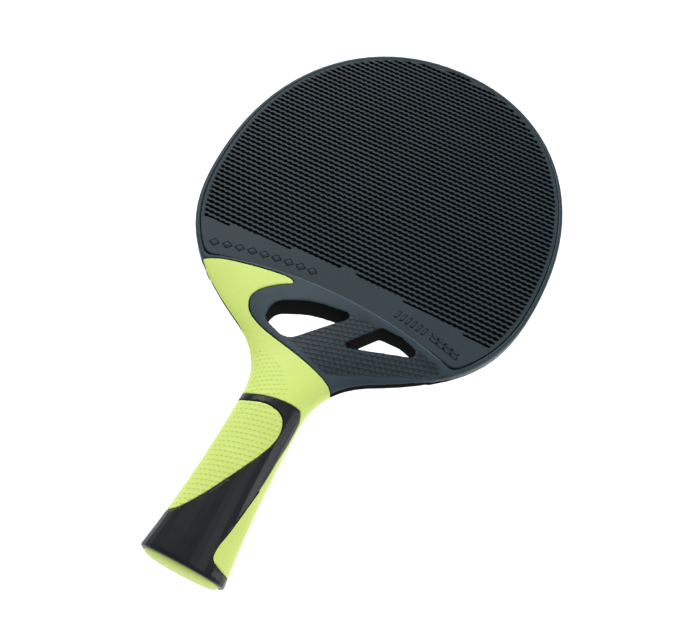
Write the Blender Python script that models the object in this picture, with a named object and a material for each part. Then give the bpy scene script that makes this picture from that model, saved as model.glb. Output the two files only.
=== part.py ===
"""Outdoor table tennis paddle: a moulded blade core, ribbed rubbers and a soft grip in a hard cage.

Sizes are in millimetres and are scaled to metres when a mesh is made. X runs across the blade,
Y from the butt of the handle to the tip, and Z out of the front face. Y = 0 is the line through
the lower corners of the rubbers, Z = 0 is the middle plane, and the rear mirrors the front.
The parts hang on an empty that brings the middle of the whole paddle to the world's origin.
"""

import math

import bmesh
import bpy
from mathutils import Vector

MM = 0.001
GAP = 0.3
# How far cutters run past the faces, past the butt and past the outline.
REACH = 20.0
BUTT_CLEARANCE = 5.0
FAR = 60.0

# Blade outline: a superellipse above its widest line, Bezier curves below it.
TIP_Y = 142.8
WIDEST_Y = 54.0
BLADE_HALF_WIDTH = 75.6
BLADE_POWER = 2.11
SHOULDER_Y = 17.1
SHOULDER_HANDLE = (65.7, -1.1)
THROAT_POINT = (30.8, -19.5)
NECK_HANDLE = (16.0, -27.3)
NECK_Y = -47.0
NECK_HALF_WIDTH = 12.6
NECK_EASE = 8.8
PLATE_END_Y = -3.0
PLATE_TUCK = (6.0, 5.0)
THROAT_INSET = 0.6
THROAT_INSET_RISE = 3.0

# Handle flare, collar and butt.
COLLAR_END_Y = -111.7
COLLAR_ROUND = 1.0
PAST_BUTT_Y = COLLAR_END_Y - BUTT_CLEARANCE
BUTT_HALF_WIDTH = 16.6
FLARE_POWER = 2.4
CAP_BULGE = 1.8
CAP_FULLNESS = 0.4
CAP_STEPS = 5
CAP_END_SCALE = 0.3

# Thickness of the blade, measured from the middle plane.
RIM_TOP = 4.0
RIM_ROUND = 1.2
RIM_WIDTH = 4.0
RIM_LOW = 3.1
RIM_FADE_Y = 14.0
WEB_TOP = 1.2
SPONGE_TOP = 2.4
RUBBER_TOP = 4.3
RUBBER_INSET = 2.4
RUBBER_CORNER = 3.0
ARCH_TOP_Y = 8.0
ARCH_RADIUS = 205.0
ARCH_STEP = 4.5
SPONGE_INSET = 0.5

# Grooves of the rubbers.
GROOVE_PITCH = 2.24
GROOVE_WIDTH = 1.1
GROOVE_DEPTH = 0.9
GROOVE_INSET = 3.7
FIRST_FULL_GROOVE_Y = 20.2
PARTIAL_GROOVES = 2
FIELD_TOP_Y = 19.2
FIELD_RADIUS = 300.0

# Sections of throat and handle: y, crown and edge half-thickness, crown power and exponent.
SECTIONS = (
    (14.0, 5.6, 3.6, 1.7, 1.00),
    (8.0, 6.1, 3.4, 1.7, 1.00),
    (0.0, 6.8, 3.1, 1.7, 1.00),
    (-10.0, 7.1, 2.6, 1.7, 0.95),
    (-20.0, 7.4, 2.3, 1.75, 0.85),
    (-30.0, 8.5, 1.7, 1.95, 0.62),
    (-40.0, 10.2, 0.8, 2.25, 0.46),
    (-48.0, 10.9, 0.2, 2.4, 0.42),
    (COLLAR_END_Y, 11.8, 0.2, 2.4, 0.42),
)
EDGE_POWER = 16
CROWN_STEPS = 16
STATIONS = (
    (14.0, -18.0, 8),
    (-18.0, -48.0, 12),
    (-48.0, COLLAR_END_Y, 7),
)

# Soft grip: skin thickness, and where it starts to wrap round the core's edge.
SKIN = 1.5
BED_OVERHANG = 0.5
WRAP_START_Y = -21.0
WRAP_END_Y = -27.0
CORE_END_Y = -108.5
BORE = (17.0, 12.0)
BORE_END_Y = -58.0
BORE_CORNER = 3.0
SPIGOT_LENGTH = 14.0

# Through openings of the throat: x, y and radius of each corner, anticlockwise.
LARGE_OPENING = (
    (12.4, 2.3, 1.7),
    (-6.5, -0.4, 30.0),
    (-20.6, -7.4, 7.0),
    (-19.4, -15.6, 3.5),
    (-7.7, -20.2, 6.0),
)
SMALL_OPENING = (
    (23.4, 2.4, 2.2),
    (11.4, -13.2, 1.2),
    (43.3, -1.4, 1.9),
    (32.6, 2.3, 14.0),
)

# Edge of the soft region: over the wing, round its tip and down across the neck.
WING_EDGE = (
    (-60.0, -5.0),
    (-53.6, -1.6),
    (-48.0, 0.7),
    (-39.7, 2.5),
    (-29.5, 4.2),
    (-18.6, 5.0),
    (-16.5, 3.6),
    (-20.4, 0.8),
    (-27.2, -5.1),
    (-29.0, -9.8),
    (-26.4, -15.1),
    (-19.4, -19.1),
    (-9.4, -22.1),
    (5.5, -25.9),
    (15.4, -29.2),
    (19.5, -32.5),
    (26.0, -36.0),
)
# Edge of the cage: along the top of its strap, round and down its right side to the collar.
CAGE_EDGE = (
    (-22.0, -47.3),
    (-12.0, -47.3),
    (-8.0, -46.9),
    (0.0, -45.1),
    (8.5, -43.9),
    (11.4, -44.1),
    (13.2, -46.2),
    (14.5, -51.0),
    (14.5, -61.0),
    (12.4, -68.0),
    (12.0, -73.7),
    (10.0, -94.7),
    (8.9, -102.0),
    (9.6, -105.6),
    (13.5, -107.6),
    (24.0, -109.0),
)
# Edge of the left window: under the strap, then down the diagonal sweep to the left side.
WINDOW_EDGE = (
    (-22.0, -49.9),
    (-12.0, -49.9),
    (-8.0, -49.8),
    (-1.0, -48.2),
    (6.0, -49.6),
    (8.5, -54.5),
    (7.7, -62.4),
    (0.0, -79.5),
    (-6.2, -90.3),
    (-12.0, -96.6),
    (-22.0, -98.0),
)
# Half-height of the soft strip that runs down the handle's right side: y and z.
STRIP_EDGE = (
    (-42.0, 7.2),
    (-44.3, 5.6),
    (-47.0, 3.0),
    (-51.0, 2.4),
    (-56.0, 2.6),
    (-61.0, 3.6),
    (-68.0, 4.8),
    (-77.0, 6.1),
)
STRIP_DEPTH_X = 8.0

DARK_PLASTIC = ((0.047, 0.068, 0.088), 0.45)
CAGE_PLASTIC = ((0.017, 0.023, 0.028), 0.28)
RUBBER = ((0.040, 0.058, 0.073), 0.55)
SPONGE = ((0.030, 0.030, 0.032), 0.90)
SOFT_GREEN = ((0.600, 0.810, 0.150), 0.55)


# ---------------------------------------------------------------- curves


def smooth_curve(points, steps):
    """Points on a centripetal Catmull-Rom curve through the given points."""
    knots = [Vector(point) for point in points]
    knots.insert(0, 2 * knots[0] - knots[1])
    knots.append(2 * knots[-1] - knots[-2])
    curve = []
    for a, b, c, d in zip(knots, knots[1:], knots[2:], knots[3:]):
        t1 = (b - a).length ** 0.5
        t2 = t1 + (c - b).length ** 0.5
        t3 = t2 + (d - c).length ** 0.5
        for step in range(steps):
            t = t1 + (t2 - t1) * step / steps
            ab = a.lerp(b, t / t1)
            bc = b.lerp(c, (t - t1) / (t2 - t1))
            cd = c.lerp(d, (t - t2) / (t3 - t2))
            abc = ab.lerp(bc, t / t2)
            bcd = bc.lerp(cd, (t - t1) / (t3 - t1))
            curve.append(abc.lerp(bcd, (t - t1) / (t2 - t1)))
    curve.append(knots[-2])
    return curve


def bezier(start, start_handle, end_handle, end, steps):
    """Points on a cubic Bezier curve, without its last point."""
    a, b, c, d = (Vector(point) for point in (start, start_handle, end_handle, end))
    curve = []
    for step in range(steps):
        t = step / steps
        s = 1 - t
        curve.append(a * s**3 + b * 3 * s * s * t + c * 3 * s * t * t + d * t**3)
    return curve


def rounded_polygon(corners, arc_step=math.radians(20)):
    """A closed outline whose corners, given as x, y and radius, are arcs."""
    outline = []
    for index, (x, y, radius) in enumerate(corners):
        corner = Vector((x, y))
        before = (Vector(corners[index - 1][:2]) - corner).normalized()
        after = (Vector(corners[(index + 1) % len(corners)][:2]) - corner).normalized()
        if radius == 0:
            outline.append(corner)
            continue
        half = before.angle(after) / 2
        centre = corner + (before + after).normalized() * radius / math.sin(half)
        start = corner + before * radius / math.tan(half) - centre
        end = corner + after * radius / math.tan(half) - centre
        turn = math.atan2(start.cross(end), start.dot(end))
        steps = max(2, math.ceil(abs(turn) / arc_step))
        for step in range(steps + 1):
            angle = math.atan2(start.y, start.x) + turn * step / steps
            outline.append(centre + radius * Vector((math.cos(angle), math.sin(angle))))
    return outline


def offset_outline(outline, distance):
    """The closed anticlockwise outline moved outwards by a distance."""
    moved = []
    for index, point in enumerate(outline):
        before = (point - outline[index - 1]).normalized()
        after = (outline[(index + 1) % len(outline)] - point).normalized()
        normal = Vector((before.y + after.y, -before.x - after.x)).normalized()
        moved.append(point + normal * distance / normal.dot(Vector((after.y, -after.x))))
    return moved


def interpolate(table, x):
    """Values of a table at x, by cubic pieces with finite-difference slopes."""
    rows = sorted(table)
    index = 0
    while index < len(rows) - 2 and x > rows[index + 1][0]:
        index += 1
    low, high = rows[index], rows[index + 1]
    span = high[0] - low[0]
    t = (x - low[0]) / span
    before = rows[max(index - 1, 0)]
    after = rows[min(index + 2, len(rows) - 1)]
    values = []
    for column in range(1, len(low)):
        low_slope = (high[column] - before[column]) / (high[0] - before[0]) * span
        high_slope = (after[column] - low[column]) / (after[0] - low[0]) * span
        rise = high[column] - low[column]
        bend = (1 - t) * (low_slope - rise) - t * (high_slope - rise)
        values.append(low[column] + rise * t + t * (1 - t) * bend)
    return values


def smooth_step(low, high, x):
    """0 below low, 1 above high, and a smooth rise between them."""
    t = min(max((x - low) / (high - low), 0), 1)
    return t * t * (3 - 2 * t)


# ---------------------------------------------------------------- outlines


def lower_side(steps):
    """Right edge from the blade's widest line down to the neck."""
    return [
        *bezier(
            (BLADE_HALF_WIDTH, WIDEST_Y),
            (BLADE_HALF_WIDTH, SHOULDER_Y),
            SHOULDER_HANDLE,
            THROAT_POINT,
            steps,
        ),
        *bezier(
            THROAT_POINT,
            NECK_HANDLE,
            (NECK_HALF_WIDTH, NECK_Y + NECK_EASE),
            (NECK_HALF_WIDTH, NECK_Y),
            steps,
        ),
        Vector((NECK_HALF_WIDTH, NECK_Y)),
    ]


FINE_SIDE = lower_side(80)


def half_width(y):
    """Half-width of throat or handle at y."""
    if y < NECK_Y:
        share = (NECK_Y - y) / (NECK_Y - COLLAR_END_Y)
        return NECK_HALF_WIDTH + (BUTT_HALF_WIDTH - NECK_HALF_WIDTH) * share**FLARE_POWER
    for upper, lower in zip(FINE_SIDE, FINE_SIDE[1:]):
        if lower.y <= y <= upper.y:
            return lower.x + (upper.x - lower.x) * (y - lower.y) / (upper.y - lower.y)
    return BLADE_HALF_WIDTH


def mirrored(right_side):
    """A closed outline from its right side, given from the bottom up."""
    left_side = [Vector((-point.x, point.y)) for point in reversed(right_side) if point.x > 0.01]
    return [*right_side, *left_side]


def blade_side():
    """Right side of the blade from the end of the plate up to the tip."""
    lower = [point for point in reversed(lower_side(16)) if PLATE_END_Y + 1 < point.y < WIDEST_Y]
    side = [Vector((half_width(PLATE_END_Y), PLATE_END_Y)), *lower]
    steps = 22
    for step in range(steps + 1):
        angle = math.pi / 2 * step / steps
        x = BLADE_HALF_WIDTH * abs(math.cos(angle)) ** (2 / BLADE_POWER)
        y = WIDEST_Y + (TIP_Y - WIDEST_Y) * math.sin(angle) ** (2 / BLADE_POWER)
        side.append(Vector((x, y)))
    return side


def arch_y(x):
    """Lower edge of the rubber, a shallow arch."""
    return ARCH_TOP_Y - ARCH_RADIUS + math.sqrt(ARCH_RADIUS**2 - x * x)


def rubber_outline():
    """The blade outline inset to the rubber's edge, closed by the arch with rounded corners."""
    inset = offset_outline(mirrored(blade_side()), -RUBBER_INSET)
    side = [point for point in inset[: len(inset) // 2 + 1] if point.x > -0.01]
    crossing = next(i for i, point in enumerate(side) if point.y > arch_y(point.x))
    below, above = side[crossing - 1], side[crossing]
    drop = arch_y(below.x) - below.y
    rise = above.y - arch_y(above.x)
    corner = below.lerp(above, drop / (drop + rise))
    clear = [p for p in side if p.y > corner.y + RUBBER_CORNER]
    arch_steps = math.ceil((corner.x - RUBBER_CORNER) / ARCH_STEP)
    arch = [Vector((ARCH_STEP * i, arch_y(ARCH_STEP * i))) for i in range(arch_steps)]
    right = [(p.x, p.y, 0) for p in arch]
    right.append((corner.x, corner.y, RUBBER_CORNER))
    right += [(max(p.x, 0), p.y, 0) for p in clear]
    left = [(-x, y, radius) for x, y, radius in reversed(right) if x > 0.01]
    return rounded_polygon(right + left)


def edge_x(outline, y):
    """Where the outline's right side crosses a line across the blade."""
    for low, high in zip(outline, outline[1:]):
        if low.y <= y < high.y:
            return low.x + (high.x - low.x) * (y - low.y) / (high.y - low.y)
    return 0.0


def groove_outlines():
    """Round-ended slots across the rubber, cut short at the bottom by a shallow arch."""
    field = offset_outline(mirrored(blade_side()), -GROOVE_INSET)
    radius = GROOVE_WIDTH / 2
    grooves = []
    row = -PARTIAL_GROOVES
    while True:
        y = FIRST_FULL_GROOVE_Y + GROOVE_PITCH * row
        reach = edge_x(field, y)
        if y > WIDEST_Y and reach < 4 * GROOVE_WIDTH:
            return grooves
        shortfall = FIELD_TOP_Y - (y - radius)
        if shortfall > 0:
            start = math.sqrt(2 * FIELD_RADIUS * shortfall)
            grooves += [slot(start, reach, y, radius), slot(-reach, -start, y, radius)]
        else:
            grooves.append(slot(-reach, reach, y, radius))
        row += 1


def slot(left, right, y, radius):
    """Outline of one groove from left to right, with blunt pointed ends."""
    outline = []
    for x, first_angle in ((right - radius, -90), (left + radius, 90)):
        for step in range(3):
            angle = math.radians(first_angle + 90 * step)
            outline.append(Vector((x + radius * math.cos(angle), y + radius * math.sin(angle))))
    return outline


def closed_region(edge, *closing):
    """An anticlockwise outline from a smooth edge and the far points that close it."""
    outline = [*smooth_curve(edge, 3), *(Vector(point) for point in closing)]
    outline.reverse()
    return outline


def soft_region():
    """Everything below the wing's edge: the wing, the neck and the whole handle."""
    return closed_region(WING_EDGE, (WING_EDGE[-1][0], PAST_BUTT_Y), (-FAR, PAST_BUTT_Y))


def cage_region():
    """The cage with its window still closed."""
    return closed_region(CAGE_EDGE, (CAGE_EDGE[-1][0], PAST_BUTT_Y), (CAGE_EDGE[0][0], PAST_BUTT_Y))


def window_region():
    """The cage's left window."""
    return closed_region(WINDOW_EDGE)


def strip_region():
    """Side view of the soft strip, in Y and Z."""
    upper = smooth_curve(STRIP_EDGE, 3)
    return [*upper, *(Vector((point.x, -point.y)) for point in reversed(upper))]


# ---------------------------------------------------------------- solids


def new_object(name, mesh_data, finish=None):
    """A scene object in metres under the datum; without a finish it is a cutter."""
    bmesh.ops.recalc_face_normals(mesh_data, faces=mesh_data.faces)
    bmesh.ops.scale(mesh_data, vec=(MM, MM, MM), verts=mesh_data.verts)
    mesh = bpy.data.meshes.new(name)
    mesh_data.to_mesh(mesh)
    mesh_data.free()
    piece = bpy.data.objects.new(name, mesh)
    bpy.context.collection.objects.link(piece)
    piece.parent = bpy.data.objects["paddle_datum"]
    if finish:
        mesh.materials.append(finish)
        mesh.shade_smooth()
        mesh.set_sharp_from_angle(angle=math.radians(35))
    else:
        piece.hide_render = True
        piece.display_type = "WIRE"
    return piece


def add_loft(mesh_data, rings):
    """A closed body through rings of equal length, capped at both ends."""
    loops = [[mesh_data.verts.new(point) for point in ring] for ring in rings]
    for low, high in zip(loops, loops[1:]):
        for index in range(len(low)):
            following = (index + 1) % len(low)
            mesh_data.faces.new((low[index], low[following], high[following], high[index]))
    mesh_data.faces.new(loops[0])
    mesh_data.faces.new(loops[-1])


def loft(name, rings, finish=None):
    """One lofted body as an object."""
    mesh_data = bmesh.new()
    add_loft(mesh_data, rings)
    return new_object(name, mesh_data, finish)


def prisms(name, outlines, low=-REACH, high=REACH, finish=None):
    """Upright prisms on closed outlines, from low to high, as one object."""
    mesh_data = bmesh.new()
    for outline in outlines:
        add_loft(mesh_data, [[(point.x, point.y, z) for point in outline] for z in (low, high)])
    return new_object(name, mesh_data, finish)


def side_prism(name, outline):
    """A prism along X on a closed outline in Y and Z, through the handle's right side."""
    return loft(name, [[(x, point.x, point.y) for point in outline] for x in (STRIP_DEPTH_X, FAR)])


def boolean(piece, operand, operation="DIFFERENCE"):
    """Adds a live Boolean to a piece."""
    modifier = piece.modifiers.new(operand.name, "BOOLEAN")
    modifier.operation = operation
    modifier.object = operand


def make_finish(name, look):
    """A Principled material with a plain colour and roughness."""
    colour, roughness = look
    result = bpy.data.materials.new(name)
    result.use_nodes = True
    shader = result.node_tree.nodes["Principled BSDF"]
    shader.inputs["Base Color"].default_value = (*colour, 1)
    shader.inputs["Roughness"].default_value = roughness
    shader.inputs["Metallic"].default_value = 0
    return result


def section_ring(y, skin, side_skin):
    """Closed section at y: a crowned top on a rounded edge wall, mirrored to the bottom."""
    crown, edge, power, exponent = interpolate(SECTIONS, y)
    half = half_width(y) - side_skin
    crown -= skin
    edge = max(edge - skin, 0.0)
    top = []
    for step in range(-CROWN_STEPS // 2, CROWN_STEPS // 2 + 1):
        share = math.sin(math.pi * step / CROWN_STEPS)
        fall = max(1 - abs(share) ** power, 0.0)
        wall = max(1 - abs(share) ** EDGE_POWER, 0.0)
        z = (crown - edge) * fall**exponent + edge * wall ** (1 / EDGE_POWER)
        top.append((half * share, y, z))
    bottom = [(x, y, -z) for x, y, z in reversed(top[1:-1])]
    return top + bottom


def stations(end_y):
    """Section places from the throat's top to an end near the butt."""
    places = [start + (end - start) * i / count for start, end, count in STATIONS for i in range(count)]
    return [y for y in places if y > end_y + 1] + [end_y]


def envelope(name, finish=None):
    """Outer body of throat and handle, with the collar's rounded end."""
    rings = []
    for y in stations(COLLAR_END_Y)[:-1]:
        inset = THROAT_INSET * smooth_step(PLATE_END_Y, PLATE_END_Y + THROAT_INSET_RISE, y)
        rings.append(section_ring(y, 0.0, inset))
    for angle in (0, 45, 90):
        turn = math.radians(angle)
        inset = COLLAR_ROUND * (1 - math.cos(turn))
        y = COLLAR_END_Y + COLLAR_ROUND * (1 - math.sin(turn))
        rings.append(section_ring(y, inset, inset))
    return loft(name, rings, finish)


def bed(name, skin, end_y):
    """What the grip lies on: the envelope less a skin, but wider than it above the neck."""
    rings = []
    for y in stations(end_y):
        wrap = 1 - smooth_step(WRAP_END_Y, WRAP_START_Y, y)
        rings.append(section_ring(y, skin, skin * wrap - BED_OVERHANG * (1 - wrap)))
    return loft(name, rings)


# ---------------------------------------------------------------- parts


def rim_rings(outline):
    """Rings of the plate, from its rear face round the rim to its front face."""
    drops = [(RIM_WIDTH, 0.0)]
    for angle in (90, 45, 0):
        turn = math.radians(angle)
        drops.append((RIM_ROUND * (1 - math.cos(turn)), RIM_ROUND * (1 - math.sin(turn))))
    rings = []
    for side, levels in ((-1, drops), (1, drops[::-1])):
        for inset, drop in levels:
            ring = []
            for point in offset_outline(outline, -inset):
                top = RIM_LOW + (RIM_TOP - RIM_LOW) * smooth_step(PLATE_END_Y, RIM_FADE_Y, point.y)
                ring.append((point.x, point.y, side * (top - drop)))
            rings.append(ring)
    return rings


def build_core(finish):
    """Blade plate with rounded rim, joined to the throat and to the bed of the grip."""
    outline = mirrored(blade_side())
    tuck_x, tuck_y = PLATE_TUCK
    root_x = half_width(PLATE_END_Y) - tuck_x
    root_y = PLATE_END_Y - tuck_y
    outline = [Vector((-root_x, root_y)), Vector((root_x, root_y)), *outline]
    core = loft("blade_core", rim_rings(outline), finish)
    boolean(core, envelope("throat_form"), "UNION")

    pocket = offset_outline(rubber_outline(), GAP)
    boolean(core, prisms("front_pocket", [pocket], WEB_TOP, REACH))
    boolean(core, prisms("rear_pocket", [pocket], -REACH, -WEB_TOP))
    openings = [rounded_polygon(corners) for corners in (LARGE_OPENING, SMALL_OPENING)]
    boolean(core, prisms("throat_openings", openings))

    recess = prisms("grip_recess", [soft_region()])
    boolean(recess, bed("core_bed", SKIN + GAP, CORE_END_Y))
    boolean(core, recess)

    width, height = BORE
    boolean(core, handle_block("core_bore", width, height, BORE_END_Y, PAST_BUTT_Y))


def handle_block(name, width, height, top_y, end_y):
    """A block along the handle's axis with rounded long edges."""
    corners = [
        (width / 2, height / 2, BORE_CORNER),
        (-width / 2, height / 2, BORE_CORNER),
        (-width / 2, -height / 2, BORE_CORNER),
        (width / 2, -height / 2, BORE_CORNER),
    ]
    section = rounded_polygon(corners, math.radians(30))
    return loft(name, [[(p.x, y, p.y) for p in section] for y in (top_y, end_y)])


def build_covering(side_name, side, sponge_finish, rubber_finish):
    """Sponge sheet and grooved rubber on one face."""
    outline = rubber_outline()

    def span(low, high):
        return sorted((side * low, side * high))

    sponge_plan = offset_outline(outline, -SPONGE_INSET)
    prisms(f"sponge_{side_name}", [sponge_plan], *span(WEB_TOP + GAP, SPONGE_TOP), sponge_finish)
    rubber = prisms(
        f"rubber_{side_name}", [outline], *span(SPONGE_TOP + GAP, RUBBER_TOP), rubber_finish
    )
    depth = span(RUBBER_TOP - GROOVE_DEPTH, REACH)
    boolean(rubber, prisms(f"grooves_{side_name}", groove_outlines(), *depth))


def build_grip(soft_finish, cage_finish):
    """Soft grip, cage halves and pad, all cut from the same envelope over the same bed."""
    grip_bed = bed("grip_bed", SKIN, PAST_BUTT_Y)

    grip = envelope("soft_grip", soft_finish)
    boolean(grip, prisms("grip_plan", [offset_outline(soft_region(), -GAP)]), "INTERSECT")
    stop = prisms("grip_stop", [offset_outline(cage_region(), GAP)])
    boolean(stop, side_prism("grip_strip", strip_region()))
    boolean(grip, stop)
    boolean(grip, grip_bed)

    pad = envelope("grip_pad", soft_finish)
    boolean(pad, prisms("pad_plan", [window_region()]), "INTERSECT")
    boolean(pad, grip_bed)

    window = prisms("cage_window", [offset_outline(window_region(), GAP)])
    strip = side_prism("cage_strip", offset_outline(strip_region(), GAP))
    for side_name, side in (("front", 1), ("rear", -1)):
        cage = envelope(f"handle_cage_{side_name}", cage_finish)
        heights = sorted((side * GAP / 2, side * REACH))
        boolean(cage, prisms(f"cage_plan_{side_name}", [cage_region()], *heights), "INTERSECT")
        boolean(cage, window)
        boolean(cage, strip)
        boolean(cage, grip_bed)


def build_cap(soft_finish):
    """Domed cap in the collar, with a spigot in the core's bore."""
    start = CORE_END_Y - GAP
    rings = [cap_ring(start, start, 1.0)]
    for step in range(CAP_STEPS):
        angle = math.pi / 2 * step / CAP_STEPS
        y = COLLAR_END_Y - CAP_BULGE * math.sin(angle)
        rings.append(cap_ring(COLLAR_END_Y, y, math.cos(angle) ** CAP_FULLNESS))
    rings.append(cap_ring(COLLAR_END_Y, COLLAR_END_Y - CAP_BULGE, CAP_END_SCALE))
    cap = loft("butt_cap", rings, soft_finish)
    width, height = BORE
    spigot_top = start + SPIGOT_LENGTH
    spigot = handle_block("cap_spigot", width - 2 * GAP, height - 2 * GAP, spigot_top, start - GAP)
    boolean(cap, spigot, "UNION")


def cap_ring(section_y, y, scale):
    """The section that clears the bed, taken at one place, moved to y and scaled."""
    ring = section_ring(section_y, SKIN + GAP, SKIN + GAP)
    return [(x * scale, y, z * scale) for x, _, z in ring]


def main():
    for existing in list(bpy.data.objects):
        bpy.data.objects.remove(existing)
    datum = bpy.data.objects.new("paddle_datum", None)
    bpy.context.collection.objects.link(datum)
    datum.location.y = -(TIP_Y + COLLAR_END_Y - CAP_BULGE) / 2 * MM

    rubber = make_finish("rubber", RUBBER)
    sponge = make_finish("sponge", SPONGE)
    soft = make_finish("soft_green", SOFT_GREEN)
    build_core(make_finish("dark_plastic", DARK_PLASTIC))
    build_covering("front", 1, sponge, rubber)
    build_covering("rear", -1, sponge, rubber)
    build_grip(soft, make_finish("cage_plastic", CAGE_PLASTIC))
    build_cap(soft)


main()
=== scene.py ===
"""Looks of the outdoor table tennis paddle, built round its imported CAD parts.

Sizes are in millimetres in the drawing frame of the paddle: X across the blade, Y towards the tip
with 0 at the rubbers' lower corners, Z out of the front face. OFFSET_Y turns that into the frame.
"""

import math

import bmesh
import bpy
import numpy as np
from mathutils import Matrix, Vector
from mathutils.bvhtree import BVHTree

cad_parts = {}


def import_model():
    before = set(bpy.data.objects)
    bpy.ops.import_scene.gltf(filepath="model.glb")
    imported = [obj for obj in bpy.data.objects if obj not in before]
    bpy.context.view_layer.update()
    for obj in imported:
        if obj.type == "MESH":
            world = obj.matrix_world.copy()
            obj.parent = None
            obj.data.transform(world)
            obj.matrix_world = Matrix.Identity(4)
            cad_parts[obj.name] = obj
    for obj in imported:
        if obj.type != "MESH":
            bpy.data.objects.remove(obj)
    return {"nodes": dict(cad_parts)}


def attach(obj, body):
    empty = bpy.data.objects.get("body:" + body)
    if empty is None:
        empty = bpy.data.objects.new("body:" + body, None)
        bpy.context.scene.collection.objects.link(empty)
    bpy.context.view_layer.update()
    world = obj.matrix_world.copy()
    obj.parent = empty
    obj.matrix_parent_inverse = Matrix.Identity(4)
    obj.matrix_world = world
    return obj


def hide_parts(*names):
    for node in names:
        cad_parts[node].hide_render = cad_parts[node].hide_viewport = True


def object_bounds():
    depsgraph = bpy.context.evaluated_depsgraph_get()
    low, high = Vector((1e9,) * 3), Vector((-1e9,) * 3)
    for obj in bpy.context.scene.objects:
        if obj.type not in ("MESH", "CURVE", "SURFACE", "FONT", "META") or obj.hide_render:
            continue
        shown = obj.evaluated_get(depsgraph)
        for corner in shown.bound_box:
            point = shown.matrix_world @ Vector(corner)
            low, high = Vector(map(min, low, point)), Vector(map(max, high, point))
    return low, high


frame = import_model()
CAD_LOW, CAD_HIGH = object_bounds()

MM = 0.001
TIP_Y = 142.8
OFFSET_Y = TIP_Y - CAD_HIGH.y / MM

# Outline and sections of the envelope, as in the CAD source.
WIDEST_Y = 54.0
BLADE_HALF_WIDTH = 75.6
BLADE_POWER = 2.11
SHOULDER_Y = 17.1
SHOULDER_HANDLE = (65.7, -1.1)
THROAT_POINT = (30.8, -19.5)
NECK_HANDLE = (16.0, -27.3)
NECK_Y = -47.0
NECK_HALF_WIDTH = 12.6
NECK_EASE = 8.8
PLATE_END_Y = -3.0
COLLAR_END_Y = -111.7
BUTT_HALF_WIDTH = 16.6
FLARE_POWER = 2.4
PLATE_STEP = 0.6
WALL_POWER = 16
# One row per section: y, the crown's and the edge's height, and how the section falls between them.
SECTIONS = (
    (14.0, 5.6, 3.6, 1.7, 1.00),
    (8.0, 6.1, 3.4, 1.7, 1.00),
    (0.0, 6.8, 3.1, 1.7, 1.00),
    (-10.0, 7.1, 2.6, 1.7, 0.95),
    (-20.0, 7.4, 2.3, 1.75, 0.85),
    (-30.0, 8.5, 1.7, 1.95, 0.62),
    (-40.0, 10.2, 0.8, 2.25, 0.46),
    (-48.0, 10.9, 0.2, 2.4, 0.42),
    (COLLAR_END_Y, 11.8, 0.2, 2.4, 0.42),
)
ENVELOPE_Y = (COLLAR_END_Y + 1.3, 13.9)
ENVELOPE_RINGS, ENVELOPE_STEPS = 190, 96

# Rubber sheet, its wavy grooves and the plain band under them.
RUBBER_TOP = 4.3
RUBBER_BOTTOM = 2.7
RUBBER_INSET = 2.4
RUBBER_CORNER = 3.0
RUBBER_EDGE = 0.22
RUBBER_SKIRT = (
    (0.09, RUBBER_TOP - 0.03),
    (RUBBER_EDGE, RUBBER_TOP - 0.16),
    (RUBBER_EDGE, RUBBER_BOTTOM),
)
RUBBER_SHARP = 50
ARCH_TOP_Y = 8.0
ARCH_RADIUS = 205.0
PITCH = 2.24
GROOVE_HALF = 0.55
GROOVE_DEPTH = 0.9
GROOVE_INSET = 3.7
GROOVE_OUTER, GROOVE_INNER = 0.1, 0.12
GROOVE_END_EASE, GROOVE_START_EASE = 0.55, 1.5
GROOVE_SHADED = 0.45
RIB_CROWN = 0.03
FIRST_FULL_Y = 20.2
PARTIAL_ROWS = 2
FIELD_TOP_Y = 19.15
FIELD_RADIUS = 478.0
MIDDLE_GAP = 2.6
WAVE_PERIOD = 2.586
WAVE_HEIGHT = 0.2
BAND_TOP_Y = 14.6
BAND_ROWS = 14
COLUMNS = 292

# Moulded pattern on the band: distance above the arch, height, and the ring of painted shade round
# each shape.
RELIEF_RISE = 5.2
RELIEF_HEIGHT = 0.3
RELIEF_SINK = 0.05
SHADE_RING_WIDTH = 0.34
SHADE_RING_LIFT = 0.02
LOZENGES = {"first_x": -54.5, "spacing": 5.2, "count": 9, "bevel": 0.5}
LOZENGE_HALF = (2.0, 1.6)
SLANTS = {"first_x": 26.0, "spacing": 2.5, "count": 6, "bevel": 0.28}
SLANT_SHAPE = ((-0.7, -1.5), (0.3, -1.5), (1.3, 1.5), (0.3, 1.5))
BARS = {"first_x": 43.5, "spacing": 3.3, "count": 4, "bevel": 0.25}
BAR_HALF = (1.3, 0.55)
BAR_LEVELS = (-1.0, 1.0)

# How the visual meshes are made from the CAD nodes.
SMOOTH_PASSES = 3
SNAP_REACH = 0.5
SNAP_FACING = (0.8, 0.97)
SNAP_END_Y = 13.5
FINE_EDGE = 1.2
FINE_PASSES = 7
FINE_REACH = 0.4
FINE_FACING = 0.88
FINE_SHADING = 0.8
FINE_SHARP = 35
COLLAR_ROUNDING = 1.4

# Linear colours of the finishes, the painted shade and the painted highlight.
DARK = (0.034, 0.058, 0.073)
RUBBER_COLOUR = (0.031, 0.047, 0.056)
# Near-black painted shade in the rubber's grooves and round the moulded shapes.
GROOVE_SHADE_COLOUR = (0.004, 0.005, 0.006)
# Near-black painted shade on the upright walls of the openings and the throat's outer wall.
WALL_SHADE_COLOUR = (0.004, 0.005, 0.005)
CAGE = (0.005, 0.0095, 0.0115)
GREEN = (0.70, 0.88, 0.205)
# Deeper green painted on the dots as their shade.
DOT_SHADE_GREEN = (0.46, 0.60, 0.09)
FOAM_COLOUR = (0.03, 0.03, 0.032)
# Painted shadow under the throat's ridge steps and painted shade between the arch and the openings.
PAINTED_SHADE = (0.008, 0.012, 0.014)
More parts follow.
